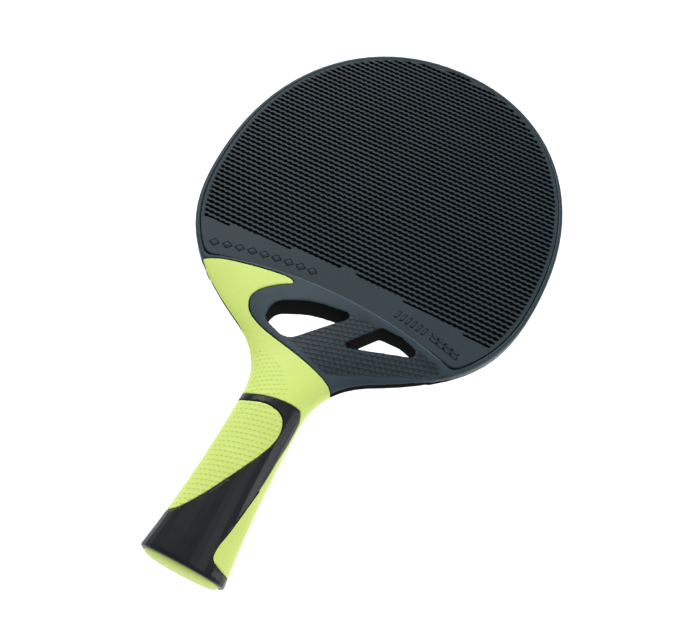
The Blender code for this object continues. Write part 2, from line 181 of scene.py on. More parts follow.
# Painted highlight along the frame's arch edge.
EDGE_HIGHLIGHT = (0.13, 0.18, 0.20)

# Unevenness of every finish.
CLOUD_SCALE, CLOUD_SPREAD = 60.0, 0.08
GLOSS_SCALE, GLOSS_SPREAD = 240.0, 0.06
GRAIN_HEIGHT = 0.06

# Ridges across the throat: angle, distance between them, and length of the dashes of painted shadow
# below each step.
RIDGE_ANGLE, RIDGE_PITCH, RIDGE_DASH = 18.0, 1.95, 2.3
RIDGE_HEIGHT = 0.3
RIDGE_SHADE = 0.9
RIDGE_STAGGER = 0.37
RIDGE_PROFILE = ((0.0, 0.0), (0.16, 1.0), (1.0, 0.0))
RIDGE_SHADE_TONE = ((0.0, 0.9), (0.16, 0.48), (0.42, 0.52), (0.74, 1.0), (1.0, 1.0))
RIDGE_AREA = (
    (9.5, 2.0),
    (24.0, 2.6),
    (40.0, 1.0),
    (50.0, -0.8),
    (52.0, -4.5),
    (45.0, -9.5),
    (35.0, -14.5),
    (25.0, -19.5),
    (18.0, -23.5),
    (12.0, -26.5),
    (5.0, -24.3),
    (-2.0, -21.5),
    (-7.0, -19.8),
    (0.0, -10.0),
    (8.0, -1.5),
)
RIDGE_FADE = 1.0

# The painted highlight and bump bead on the frame's arch, and the painted shade between it and the
# openings.
BEAD_DEPTHS = (0.2, 2.2)
BEAD_ENDS_X = (46.0, 52.0)
BEAD_HIGHLIGHT_SHARE, BEAD_HEIGHT = 0.75, 0.12
STRIP_DEPTHS = (1.4, 8.0)
STRIP_START_X = (-6.0, 14.0)
STRIP_SHADE = 0.4

# Rows of raised dots on the soft parts, painted a deeper green as their shade.
DOT_SPACING, DOT_ROWS = 1.8, 1.95
DOT_STRETCH = 0.6
DOT_RADII = (0.15, 0.55)
DOT_SHADE_SHARE, DOT_HEIGHT = 0.32, 0.16
NECK_DOT_ANGLE, PAD_DOT_ANGLE = 28.0, 13.5
NECK_AREA = (
    (-19.0, -26.5),
    (-11.0, -27.5),
    (-4.0, -30.5),
    (0.0, -34.5),
    (3.5, -38.5),
    (4.5, -42.5),
    (-8.0, -49.0),
    (-12.0, -47.0),
    (-12.4, -39.0),
    (-15.5, -32.0),
)
NECK_FADE = 1.5
PATTERN_FACING = (0.35, 0.7)

# Walls painted near-black as shade, with a matte finish: how upright they are, where the openings
# lie, and how the outer band narrows upwards.
WALL_UPRIGHT = 0.6
OPENINGS_Y = (-26, 6)
OPENINGS_X = 48
OPENINGS_INSET = 2.5
OUTER_INSET = 2.0
OUTER_END_Y = 14
OUTER_BAND_Y, OUTER_BAND_Z = (-12, 13), (2.0, -3.6)

# Studio, in metres. The lamps are name, place, width, height and power, and all face the origin.
LAMPS = (
    ("key", (-0.65, 0.75, 0.95), 0.9, 0.9, 11.0),
    ("top", (0.45, 0.05, 1.15), 0.7, 0.7, 1.65),
    ("side", (0.95, 0.10, 0.16), 0.6, 0.25, 1.6),
)
FLOOR_HALF, FLOOR_DEPTH = 9.0, -1.2
FLOOR_MIDDLE = (-0.17, 0.72)
FLOOR_COLOUR = (0.25, 0.25, 0.25)
FLOOR_GLOW = ((0.0, 1.1), (0.14, 1.1), (0.2, 1.0), (1.0, 1.0))
SKY = ((0.0, 0.7), (0.15, 0.6), (0.5, 0.42), (1.0, 0.40))

# The camera as fitted to the photo. Its place is in metres from the drawing's origin, with Z = 0
# on the rubber's face.
LENS, SENSOR = 43.187, 36.0
CAMERA_RIGHT = (0.89590453, 0.43706130, 0.07957695)
CAMERA_UP = (-0.42550071, 0.79273490, 0.43648656)
CAMERA_BACK = (0.12768796, -0.42491034, 0.89618468)
CAMERA_PLACE = (0.05311613, -0.14191269, 0.29895405)


# ---------------------------------------------------------------- drawing


def bezier(a, b, c, d, count=160):
    """Points along a cubic curve."""
    t = np.linspace(0, 1, count)[:, None]
    s = 1 - t
    a, b, c, d = (np.array(p, float) for p in (a, b, c, d))
    return a * s**3 + 3 * b * s * s * t + 3 * c * s * t * t + d * t**3


LOWER_SIDE = np.concatenate(
    [
        bezier(
            (BLADE_HALF_WIDTH, WIDEST_Y),
            (BLADE_HALF_WIDTH, SHOULDER_Y),
            SHOULDER_HANDLE,
            THROAT_POINT,
        ),
        bezier(
            THROAT_POINT,
            NECK_HANDLE,
            (NECK_HALF_WIDTH, NECK_Y + NECK_EASE),
            (NECK_HALF_WIDTH, NECK_Y),
        )[1:],
    ]
)[::-1]


def half_width(y):
    """Half the plan's width at y, from the butt to the tip."""
    y = np.asarray(y, float)
    lower = np.interp(y, LOWER_SIDE[:, 1], LOWER_SIDE[:, 0])
    share = np.clip((NECK_Y - y) / (NECK_Y - COLLAR_END_Y), 0, None)
    flare = NECK_HALF_WIDTH + (BUTT_HALF_WIDTH - NECK_HALF_WIDTH) * share**FLARE_POWER
    rise = np.clip((y - WIDEST_Y) / (TIP_Y - WIDEST_Y), 0, 1)
    upper = BLADE_HALF_WIDTH * (1 - rise**BLADE_POWER) ** (1 / BLADE_POWER)
    return np.where(y < NECK_Y, flare, np.where(y > WIDEST_Y, upper, lower))


def interpolate(table, x):
    """Smooth values between the rows of a table whose first column is x."""
    rows = sorted(table)
    index = 0
    while index < len(rows) - 2 and x > rows[index + 1][0]:
        index += 1
    low, high = rows[index], rows[index + 1]
    span = high[0] - low[0]
    t = (x - low[0]) / span
    before = rows[max(index - 1, 0)]
    after = rows[min(index + 2, len(rows) - 1)]
    values = []
    for column in range(1, len(low)):
        low_slope = (high[column] - before[column]) / (high[0] - before[0]) * span
        high_slope = (after[column] - low[column]) / (after[0] - low[0]) * span
        rise = high[column] - low[column]
        bend = (1 - t) * (low_slope - rise) - t * (high_slope - rise)
        values.append(low[column] + rise * t + t * (1 - t) * bend)
    return values


def smooth_step(low, high, x):
    """0 below low and 1 above high, eased between them."""
    t = np.clip((np.asarray(x, float) - low) / (high - low), 0, 1)
    return t * t * (3 - 2 * t)


def section(y, steps):
    """One closed ring of the envelope at y."""
    crown, edge, power, exponent = interpolate(SECTIONS, y)
    half = float(half_width(y)) - PLATE_STEP * float(smooth_step(PLATE_END_Y, PLATE_END_Y + 3, y))
    share = np.sin(np.linspace(-math.pi / 2, math.pi / 2, steps + 1))
    fall = np.clip(1 - np.abs(share) ** power, 0, 1)
    wall = np.clip(1 - np.abs(share) ** WALL_POWER, 0, 1)
    z = (crown - edge) * fall**exponent + edge * wall ** (1 / WALL_POWER)
    top = np.stack([half * share, np.full_like(share, y), z], 1)
    bottom = top[-2:0:-1] * (1, 1, -1)
    return np.concatenate([top, bottom])


def envelope_tree():
    """The envelope as a search tree, with its points, vertex normals and faces."""
    rings = [section(y, ENVELOPE_STEPS) for y in np.linspace(*ENVELOPE_Y, ENVELOPE_RINGS)]
    count = len(rings[0])
    points = [tuple(p) for ring in rings for p in ring]
    faces = []
    for r in range(len(rings) - 1):
        for i in range(count):
            j = (i + 1) % count
            a, b = r * count, (r + 1) * count
            faces.append((a + i, b + i, b + j, a + j))
    grid = bpy.data.meshes.new("envelope_grid")
    grid.from_pydata(points, [], faces)
    grid.update()
    normals = read_normals(grid)
    bpy.data.meshes.remove(grid)
    return BVHTree.FromPolygons(points, faces), np.array(points), normals, faces


def outline_x(inset):
    """Right side of the blade's outline moved inwards, as a function of y."""
    t = np.linspace(0, math.pi / 2, 500)
    upper = np.stack(
        [
            BLADE_HALF_WIDTH * np.abs(np.cos(t)) ** (2 / BLADE_POWER),
            WIDEST_Y + (TIP_Y - WIDEST_Y) * np.sin(t) ** (2 / BLADE_POWER),
        ],
        1,
    )
    lower = LOWER_SIDE[(LOWER_SIDE[:, 1] > -16) & (LOWER_SIDE[:, 1] < WIDEST_Y - 0.2)]
    side = np.concatenate([lower, upper])
    tangent = np.gradient(side, axis=0)
    tangent /= np.linalg.norm(tangent, axis=1)[:, None]
    moved = side + inset * np.stack([-tangent[:, 1], tangent[:, 0]], 1)
    moved = moved[moved[:, 0] > 0]
    order = np.argsort(moved[:, 1])
    ys, xs = moved[order, 1], moved[order, 0]
    top = ys[-1]

    def at(y):
        return np.where(np.asarray(y) >= top, 0.0, np.interp(y, ys, xs))

    return at, top


def arch_y(x):
    """Height of the rubber's lower edge at x."""
    return ARCH_TOP_Y - ARCH_RADIUS + np.sqrt(ARCH_RADIUS**2 - np.asarray(x, float) ** 2)


# ---------------------------------------------------------------- meshes


def local(coordinates):
    """Frame coordinates in metres to drawing millimetres."""
    return coordinates / MM + (0, OFFSET_Y, 0)


def world(coordinates):
    return (coordinates - (0, OFFSET_Y, 0)) * MM


def read_points(mesh):
    data = np.empty(len(mesh.vertices) * 3, np.float32)
    mesh.vertices.foreach_get("co", data)
    return data.reshape(-1, 3).astype(float)


def read_normals(mesh):
    data = np.empty(len(mesh.vertices) * 3, np.float32)
    mesh.vertices.foreach_get("normal", data)
    return data.reshape(-1, 3).astype(float)


def write_points(mesh, coordinates):
    mesh.vertices.foreach_set("co", coordinates.astype(np.float32).ravel())
    mesh.update()


def with_modifiers(mesh, *modifiers):
    """The mesh after temporary modifiers, given as (type, settings)."""
    carrier = bpy.data.objects.new("carrier", mesh)
    bpy.context.scene.collection.objects.link(carrier)
    for kind, settings in modifiers:
        modifier = carrier.modifiers.new(kind, kind)
        for name, value in settings.items():
            setattr(modifier, name, value)
    graph = bpy.context.evaluated_depsgraph_get()
    result = bpy.data.meshes.new_from_object(carrier.evaluated_get(graph))
    bpy.data.objects.remove(carrier)
    return result


def clean_copy(node):
    """The node's mesh welded into one skin, without its materials."""
    source = frame["nodes"][node].data
    skin = bmesh.new()
    skin.from_mesh(source)
    bmesh.ops.remove_doubles(skin, verts=skin.verts, dist=1e-6)
    mesh = bpy.data.meshes.new(node + "_copy")
    skin.to_mesh(mesh)
    skin.free()
    return mesh


ENVELOPE, ENVELOPE_POINTS, ENVELOPE_NORMALS, ENVELOPE_FACES = envelope_tree()


def smooth_normal(point, face):
    """The envelope's normal at a point of one of its faces, shared between the face's corners."""
    corners = list(ENVELOPE_FACES[face])
    distance = np.linalg.norm(ENVELOPE_POINTS[corners] - point, axis=1)
    weights = 1 / (distance**2 + 1e-4)
    normal = (ENVELOPE_NORMALS[corners] * weights[:, None]).sum(0)
    return normal / np.linalg.norm(normal)


def snap_to_envelope(mesh):
    """Moves vertices that lie on the faceted envelope onto the true curved one."""
    points = local(read_points(mesh))
    normals = read_normals(mesh)
    near = np.nonzero(points[:, 1] < SNAP_END_Y)[0]
    for index in near:
        found, normal, _, _ = ENVELOPE.find_nearest(tuple(points[index]), SNAP_REACH)
        if found is None:
            continue
        facing = float(np.dot(normals[index], normal))
        weight = float(smooth_step(*SNAP_FACING, facing))
        if weight > 0:
            points[index] += weight * (np.array(found) - points[index])
    write_points(mesh, world(points))


def refined(node, voxel, faces, snap=True):
    """A smooth dense mesh from a CAD node, with softened edges."""
    size = voxel * 1.0 * MM
    mesh = with_modifiers(
        clean_copy(node),
        ("REMESH", {"mode": "VOXEL", "voxel_size": size, "adaptivity": 0.0}),
        ("SMOOTH", {"factor": 0.5, "iterations": SMOOTH_PASSES}),
    )
    if snap:
        snap_to_envelope(mesh)
    count = len(mesh.polygons) * 2
    if count > faces:
        mesh = with_modifiers(mesh, ("DECIMATE", {"ratio": faces / count}))
    mesh.shade_smooth()
    return mesh


def crisp(node):
    """The CAD node's own faces cut fine, laid on the true envelope and shaded with its normals."""
    work = bmesh.new()
    work.from_mesh(clean_copy(node))
    bmesh.ops.triangulate(work, faces=work.faces)
    for _ in range(FINE_PASSES):
        long = [edge for edge in work.edges if edge.calc_length() > FINE_EDGE * MM]
        if not long:
            break
        bmesh.ops.subdivide_edges(work, edges=long, cuts=1)
        bmesh.ops.triangulate(work, faces=[face for face in work.faces if len(face.verts) > 3])
    mesh = bpy.data.meshes.new(node + "_fine")
    work.to_mesh(mesh)
    work.free()
    points = local(read_points(mesh))
    found = [ENVELOPE.find_nearest(tuple(point), FINE_REACH) for point in points]
    facing = {}
    for polygon in mesh.polygons:
        for index in polygon.vertices:
            normal = found[index][1]
            if normal is not None and points[index][1] > COLLAR_END_Y + COLLAR_ROUNDING:
                if polygon.normal.dot(normal) > FINE_FACING:
                    facing[index] = True
    for index in facing:
        points[index] = found[index][0]
    write_points(mesh, world(points))
    mesh.shade_smooth()
    mesh.set_sharp_from_angle(angle=math.radians(FINE_SHARP))
    normals = np.zeros((len(mesh.loops), 3), np.float32)
    for polygon in mesh.polygons:
        for loop in polygon.loop_indices:
            index = mesh.loops[loop].vertex_index
            if index in facing and polygon.normal.dot(found[index][1]) > FINE_SHADING:
                normals[loop] = smooth_normal(points[index], found[index][2])
    mesh.normals_split_custom_set(normals.tolist())
    return mesh


def add_piece(name, mesh, materials, slot, *nodes):
    """A visual piece that rides on the frame in place of CAD nodes."""
    mesh.name = name
    mesh.materials.clear()
    for entry in materials:
        mesh.materials.append(entry)
    piece = bpy.data.objects.new(name, mesh)
    bpy.context.scene.collection.objects.link(piece)
    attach(piece, "root")
    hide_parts(*nodes)
    return piece


# ---------------------------------------------------------------- rubber


def row_start(y):
    """Where the plain middle of the band ends at height y; negative if it doesn't reach there."""
    shortfall = FIELD_TOP_Y - y
    return math.sqrt(2 * FIELD_RADIUS * shortfall) if shortfall > 0 else -1.0


def field_lines():
    """Lines across the rubber: base y, depth share, wave sign, and the groove's x span."""
    reach_at, _ = outline_x(GROOVE_INSET)
    lines = [(BAND_TOP_Y, 0.0, 0, (0.0, 0.0))]
    row = -PARTIAL_ROWS
    while True:
        y = FIRST_FULL_Y + PITCH * row
        reach = float(reach_at(y))
        if y > WIDEST_Y and reach < 8 * GROOVE_HALF:
            break
        low = (row_start(y - GROOVE_HALF), reach)
        high = (row_start(y + GROOVE_HALF), reach)
        if row == 0:
            low = high = (MIDDLE_GAP, reach)
        sign = 1 if row % 2 else -1
        lines.append((y - GROOVE_HALF - GROOVE_OUTER, 0.0, sign, low))
        lines.append((y - GROOVE_HALF + GROOVE_INNER, 1.0, sign, low))
        lines.append((y + GROOVE_HALF - GROOVE_INNER, 1.0, -sign, high))
        lines.append((y + GROOVE_HALF + GROOVE_OUTER, 0.0, -sign, high))
        lines.append((y + PITCH / 2, -RIB_CROWN, -sign, high))
        row += 1
    return lines


def band_grid(at, columns, rows):
    """Rows of points from the arch and its rounded corners up to the band's top line."""
    xs = np.linspace(0, 75, 3000)
    crossing = xs[np.argmin(np.abs(at(arch_y(xs)) - xs))]
    corner = np.array([crossing, float(arch_y(crossing))])
    radius = RUBBER_CORNER - RUBBER_EDGE
    start_x = crossing - radius
    arch = np.stack([np.linspace(0, start_x, 60), arch_y(np.linspace(0, start_x, 60))], 1)
    end_y = corner[1] + radius
    end = np.array([float(at(end_y)), end_y])
    turn = np.linspace(0, 1, 14)[1:, None]
    arc = arch[-1] * (1 - turn) ** 2 + 2 * corner * turn * (1 - turn) + end * turn**2
    path = np.concatenate([arch, arc])
    along = np.concatenate([[0], np.cumsum(np.linalg.norm(np.diff(path, axis=0), axis=1))])
    s = np.linspace(-1, 1, columns + 1)
    bottom_x = np.sign(s) * np.interp(np.abs(s) * along[-1], along, path[:, 0])
    bottom_y = np.interp(np.abs(s) * along[-1], along, path[:, 1])
    top_x = s * float(at(BAND_TOP_Y))
    grid = []
    for t in np.linspace(0, 1, rows + 1)[:-1]:
        side_y = end_y + t * (BAND_TOP_Y - end_y)
        straight = (1 - t) * end[0] + t * float(at(BAND_TOP_Y))
        x = (1 - t) * bottom_x + t * top_x + s * (float(at(side_y)) - straight)
        y = (1 - t) * bottom_y + t * BAND_TOP_Y
        grid.append(np.stack([x, y, np.zeros_like(x)], 1))
    return grid


def rubber_mesh(side, relief):
    """Ribbed sheet: wavy ribs, a plain border and band, eased edges and a flat back."""
    at, top = outline_x(RUBBER_INSET + RUBBER_EDGE)
    s = np.linspace(-1, 1, COLUMNS + 1)
    rows = band_grid(at, COLUMNS, BAND_ROWS)
    for y0, share, sign, (start, reach) in field_lines():
        if y0 > top - 0.25:
            break
        x = s * float(at(y0))
        inside = smooth_step(reach, reach - GROOVE_END_EASE, np.abs(x))
        if start > 0:
            inside = inside * smooth_step(start, start + GROOVE_START_EASE, np.abs(x))
        wave = WAVE_HEIGHT * sign * np.sin(2 * math.pi * x / WAVE_PERIOD) * inside
        rows.append(np.stack([x, y0 + wave, -share * GROOVE_DEPTH * inside], 1))
    last = rows[-1][0, 1]
    for y0 in np.linspace(last, top - 0.02, 5)[1:]:
        x = s * float(at(y0))
        rows.append(np.stack([x, np.full_like(x, y0), np.zeros_like(x)], 1))
    grid = np.array(rows)
    count, width = grid.shape[:2]
    # Faces deep in the grooves take finish 1, a near-black painted shade.
    deepest = np.minimum(grid[:-1, :, 2], grid[1:, :, 2])
    deep = (deepest[:, :-1] < -GROOVE_SHADED) & (deepest[:, 1:] < -GROOVE_SHADED)
    grid[:, :, 2] += RUBBER_TOP
    points = grid.reshape(-1, 3)
    index = np.arange(count * width).reshape(count, width)
    a, b, c, d = index[:-1, :-1], index[:-1, 1:], index[1:, 1:], index[1:, :-1]
    faces = np.stack([a, b, c, d], -1).reshape(-1, 4).tolist()

    rim = np.concatenate([index[0, :], index[1:, -1], index[-1, -2::-1], index[-2:0:-1, 0]])
    loop = points[rim]
    tangent = np.roll(loop, -1, 0)[:, :2] - np.roll(loop, 1, 0)[:, :2]
    tangent /= np.linalg.norm(tangent, axis=1)[:, None] + 1e-12
    outward = np.stack([tangent[:, 1], -tangent[:, 0]], 1)
    previous = rim
    total = len(points)
    layers = [points]
    for grow, z in RUBBER_SKIRT:
        ring = np.column_stack([loop[:, :2] + outward * grow, np.full(len(loop), z)])
        layers.append(ring)
        current = np.arange(total, total + len(loop))
        total += len(loop)
        after = np.roll(np.arange(len(loop)), -1)
        faces += np.stack([previous, current, current[after], previous[after]], 1)[:, ::-1].tolist()
        previous = current
    faces.append(previous[::-1].tolist())
    points = np.concatenate(layers)

    shaded = deep.ravel().astype(int).tolist() + [0] * (len(faces) - deep.size)
    for shape_points, shape_faces, finish_index in relief:
        faces += [[i + total for i in face] for face in shape_faces]
        shaded += [finish_index] * len(shape_faces)
        points = np.concatenate([points, shape_points])
        total += len(shape_points)
    points = points * (1, 1, side)
    mesh = bpy.data.meshes.new("rubber")
    if side < 0:
        faces = [face[::-1] for face in faces]
    mesh.from_pydata(world(points).tolist(), [], faces)
    mesh.update()
    mesh.shade_smooth()
    mesh.set_sharp_from_angle(angle=math.radians(RUBBER_SHARP))
    return mesh, shaded


def moulded(outline, bevel):
    """A raised shape in a thin ring of painted shade round its foot, as (points, faces, finish
    index) entries.
    """
    outline = np.array(outline, float)
    count = len(outline)
    centre = outline.mean(0)
    size = np.linalg.norm(outline - centre, axis=1).mean()
    wider = centre + (outline - centre) * (1 + SHADE_RING_WIDTH / size)
    inner = centre + (outline - centre) * (1 - bevel / size)
    # The seat is a flat ring of near-black painted shade round the shape's foot.
    seat = np.column_stack([wider, np.full(count, RUBBER_TOP + SHADE_RING_LIFT)])
    foot = np.column_stack([outline, np.full(count, RUBBER_TOP - RELIEF_SINK)])
    head = np.column_stack([inner, np.full(count, RUBBER_TOP + RELIEF_HEIGHT)])
    faces = [[i, (i + 1) % count, count + (i + 1) % count, count + i] for i in range(count)]
    faces.append([count + i for i in range(count)])
    return [(seat, [list(range(count))], 1), (np.concatenate([foot, head]), faces, 0)]


def places(layout):
    """The x, y and slope along the arch of each shape in a row."""
    for step in range(layout["count"]):
        x = layout["first_x"] + layout["spacing"] * step
        yield x, float(arch_y(x)) + RELIEF_RISE, -x / ARCH_RADIUS


def band_relief():
    """A plain moulded pattern on the smooth band: lozenges on the left, bars on the right."""
    shapes = []
    length, height = LOZENGE_HALF
    for x, y, slope in places(LOZENGES):
        right = np.array([math.cos(slope), math.sin(slope)])
        up = np.array([-right[1], right[0]])
        centre = np.array([x, y])
        corners = [
            centre + length * right,
            centre + height * up,
            centre - length * right,
            centre - height * up,
        ]
        shapes += moulded(corners, LOZENGES["bevel"])
    for x, y, _ in places(SLANTS):
        shapes += moulded([(x + dx, y + dy) for dx, dy in SLANT_SHAPE], SLANTS["bevel"])
    length, height = BAR_HALF
    for x, y, slope in places(BARS):
        for level in BAR_LEVELS:
            corners = [
                (x + i * length, y + level + j * height + i * length * slope)
                for i, j in ((-1, -1), (1, -1), (1, 1), (-1, 1))
            ]
            shapes += moulded(corners, BARS["bevel"])
    return shapes


# ---------------------------------------------------------------- finishes


def new_material(name, colour, roughness):
    material = bpy.data.materials.new(name)
    material.use_nodes = True
    tree = material.node_tree
    shader = tree.nodes["Principled BSDF"]
    shader.inputs["Base Color"].default_value = (*colour, 1)
    shader.inputs["Roughness"].default_value = roughness
    return material, tree, shader


def link(tree, a, b):
    tree.links.new(a, b)


def noise(tree, scale, detail):
    coordinates = tree.nodes.new("ShaderNodeTexCoord")
    texture = tree.nodes.new("ShaderNodeTexNoise")
    texture.inputs["Scale"].default_value = scale
    texture.inputs["Detail"].default_value = detail
    texture.inputs["Roughness"].default_value = 0.55
    link(tree, coordinates.outputs["Object"], texture.inputs["Vector"])
    return texture.outputs["Fac"]


def ramp(tree, source, stops):
    node = tree.nodes.new("ShaderNodeValToRGB")
    elements = node.color_ramp.elements
    elements[0].position, elements[0].color = stops[0][0], (*stops[0][1], 1)
    elements[1].position, elements[1].color = stops[-1][0], (*stops[-1][1], 1)
    for position, colour in stops[1:-1]:
        element = elements.new(position)
        element.color = (*colour, 1)
    link(tree, source, node.inputs["Fac"])
    return node.outputs["Color"]


def grey_ramp(tree, source, *stops):
    """A ramp of (place, level) stops."""
    return ramp(tree, source, [(place, (level, level, level)) for place, level in stops])


def remapped(tree, source, **limits):
    """A varying value brought from one range to another, clamped. Ranges not given are 0 to 1."""
    node = tree.nodes.new("ShaderNodeMapRange")
    for name, value in limits.items():
        node.inputs[name.replace("_", " ").title()].default_value = value
    link(tree, source, node.inputs["Value"])
    return node.outputs["Result"]


def share_of(tree, source, low, high):
    """Brings low..high of a varying value to 0..1."""
    return remapped(tree, source, from_min=low, from_max=high)


def maths(tree, operation, *values):
    """A calculation on varying values; plain numbers are set on the sockets."""
    node = tree.nodes.new("ShaderNodeMath")
    node.operation = operation
    for socket, value in zip(node.inputs, values):
        if isinstance(value, (int, float)):
            socket.default_value = value
        else:
            link(tree, value, socket)
    return node.outputs["Value"]


def plan(tree):
    """The drawing's X and Y at a shaded point, in millimetres."""
    coordinates = tree.nodes.new("ShaderNodeTexCoord")
    parts = tree.nodes.new("ShaderNodeSeparateXYZ")
    link(tree, coordinates.outputs["Object"], parts.inputs["Vector"])
    x = maths(tree, "MULTIPLY", parts.outputs["X"], 1 / MM)
    y = maths(tree, "MULTIPLY_ADD", parts.outputs["Y"], 1 / MM, OFFSET_Y)
    return x, y


def turned(tree, degrees, along_pitch, across_pitch):
    """Distances along and across lines that rise to the right, counted in pitches."""
    x, y = plan(tree)
    c, s = math.cos(math.radians(degrees)), math.sin(math.radians(degrees))
    along_y = maths(tree, "MULTIPLY", y, s / along_pitch)
    along = maths(tree, "MULTIPLY_ADD", x, c / along_pitch, along_y)
    across_y = maths(tree, "MULTIPLY", y, c / across_pitch)
    across = maths(tree, "MULTIPLY_ADD", x, -s / across_pitch, across_y)
    return along, across


def distance_from_zero(tree, u, v):
    return maths(tree, "SQRT", maths(tree, "MULTIPLY_ADD", u, u, maths(tree, "MULTIPLY", v, v)))


def painted(tree, shader, share, colour):
    """Lays a colour over the finish's own colour by a varying share."""
    base = shader.inputs["Base Color"].links[0].from_socket
    node = tree.nodes.new("ShaderNodeMix")
    node.data_type = "RGBA"
    colours = [socket for socket in node.inputs if socket.type == "RGBA"]
    link(tree, share, node.inputs[0])
    link(tree, base, colours[0])
    colours[1].default_value = (*colour, 1)
    result = [socket for socket in node.outputs if socket.type == "RGBA"][0]
    link(tree, result, shader.inputs["Base Color"])


def masked(tree, value):
    """A varying value, only where the mesh is marked for its pattern."""
    node = tree.nodes.new("ShaderNodeAttribute")
    node.attribute_name = "pattern"
    return maths(tree, "MULTIPLY", value, node.outputs["Fac"])


def add_bump(tree, shader, height, distance):
    """Adds a relief on top of the finish's own grain."""
    node = tree.nodes.new("ShaderNodeBump")
    node.inputs["Distance"].default_value = distance * MM
    link(tree, height, node.inputs["Height"])
    link(tree, shader.inputs["Normal"].links[0].from_socket, node.inputs["Normal"])
    link(tree, node.outputs["Normal"], shader.inputs["Normal"])


def add_ridges(material):
    """Saw-tooth ridges across the throat, with a broken line of painted shadow under each step and
    lighter painted shade over the rest.
    """
    tree = material.node_tree
    shader = tree.nodes["Principled BSDF"]
    along, across = turned(tree, RIDGE_ANGLE, RIDGE_DASH, RIDGE_PITCH)
    saw = maths(tree, "FRACT", across)
    height = grey_ramp(tree, saw, *RIDGE_PROFILE)
    shift = maths(tree, "MULTIPLY", maths(tree, "FLOOR", across), RIDGE_STAGGER)
    turns = maths(tree, "MULTIPLY", maths(tree, "ADD", along, shift), 2 * math.pi)
    wave = share_of(tree, maths(tree, "SINE", turns), -1.0, 1.0)
    dash = grey_ramp(tree, wave, (0.2, 0.5), (0.5, 1.0))
    line = grey_ramp(tree, saw, *RIDGE_SHADE_TONE)
    # Painted shadow: a broken dark line under each step and a lighter shade over the ridges.
    dark = masked(tree, maths(tree, "MULTIPLY", line, dash))
    painted(tree, shader, maths(tree, "MULTIPLY", dark, RIDGE_SHADE), PAINTED_SHADE)
    add_bump(tree, shader, masked(tree, height), RIDGE_HEIGHT)


def add_edge_line(material):
    """A fine painted highlight with a bump bead along the arch edge of the frame, and a painted
    shade under it on the right.
    """
    tree = material.node_tree
    shader = tree.nodes["Principled BSDF"]
    x, y = plan(tree)
    drop = maths(tree, "SUBTRACT", y, ARCH_TOP_Y - ARCH_RADIUS)
    depth = maths(tree, "SUBTRACT", ARCH_RADIUS, distance_from_zero(tree, x, drop))
    share = share_of(tree, depth, *BEAD_DEPTHS)
    bead = grey_ramp(tree, share, (0.0, 0.0), (0.25, 1.0), (0.5, 0.0))
    ends = share_of(tree, maths(tree, "ABSOLUTE", x), *BEAD_ENDS_X)
    bead = maths(tree, "MULTIPLY", bead, grey_ramp(tree, ends, (0.0, 1.0), (1.0, 0.0)))
    # Painted highlight along the arch edge.
    painted(tree, shader, maths(tree, "MULTIPLY", bead, BEAD_HIGHLIGHT_SHARE), EDGE_HIGHLIGHT)
    # Painted shade on the strip between the bead and the openings, on the right.
    share = share_of(tree, depth, *STRIP_DEPTHS)
    fall = grey_ramp(tree, share, (0.0, 0.0), (0.55, 1.0), (1.0, 0.0))
    right = grey_ramp(tree, share_of(tree, x, *STRIP_START_X), (0.0, 0.0), (1.0, 1.0))
    shade = maths(tree, "MULTIPLY", fall, right)
    painted(tree, shader, maths(tree, "MULTIPLY", shade, STRIP_SHADE), PAINTED_SHADE)
    add_bump(tree, shader, bead, BEAD_HEIGHT)


def add_dots(material, degrees):
    """Rows of small raised dots, painted a slightly deeper green as their shade."""
    tree = material.node_tree
    shader = tree.nodes["Principled BSDF"]
    along, across = turned(tree, degrees, DOT_SPACING, DOT_ROWS)
    offset = maths(tree, "MULTIPLY", maths(tree, "FLOOR", across), 0.5)
    u = maths(tree, "SUBTRACT", maths(tree, "FRACT", maths(tree, "ADD", along, offset)), 0.5)
    v = maths(tree, "SUBTRACT", maths(tree, "FRACT", across), 0.5)
    u = maths(tree, "MULTIPLY", u, DOT_SPACING * DOT_STRETCH)
    v = maths(tree, "MULTIPLY", v, DOT_ROWS)
    radius = distance_from_zero(tree, u, v)
    inner, outer = DOT_RADII
    dome = masked(tree, grey_ramp(tree, radius, (inner, 1.0), (outer, 0.0)))
    # The dots are painted a deeper green as their shade.
    painted(tree, shader, maths(tree, "MULTIPLY", dome, DOT_SHADE_SHARE), DOT_SHADE_GREEN)
    add_bump(tree, shader, dome, DOT_HEIGHT)


def finish(name, colour, roughness, grain_scale, grain, spread=CLOUD_SPREAD, shine=0.5):
    """A moulded finish: slight cloudiness, uneven gloss and a fine grain."""
    material, tree, shader = new_material(name, colour, roughness)
    shader.inputs["Specular IOR Level"].default_value = shine
    dark, light = (tuple(c * (1 + sign * spread) for c in colour) for sign in (-1, 1))
    cloud = noise(tree, CLOUD_SCALE, 4.0)
    cloud = ramp(tree, cloud, [(0.3, dark), (0.5, colour), (0.7, light)])
    link(tree, cloud, shader.inputs["Base Color"])
    low, high = roughness - GLOSS_SPREAD, roughness + GLOSS_SPREAD
    gloss = remapped(tree, noise(tree, GLOSS_SCALE, 3.0), to_min=low, to_max=high)
    link(tree, gloss, shader.inputs["Roughness"])
    node = tree.nodes.new("ShaderNodeBump")
    node.inputs["Strength"].default_value = grain
    node.inputs["Distance"].default_value = GRAIN_HEIGHT * MM
    link(tree, noise(tree, grain_scale, 2.0), node.inputs["Height"])
    link(tree, node.outputs["Normal"], shader.inputs["Normal"])
    return material


dark_plastic = finish("slate_moulding", DARK, 0.42, 3200.0, 0.35, shine=0.22)
rubber_finish = finish("ribbed_rubber", RUBBER_COLOUR, 0.50, 2600.0, 0.3, shine=0.2)
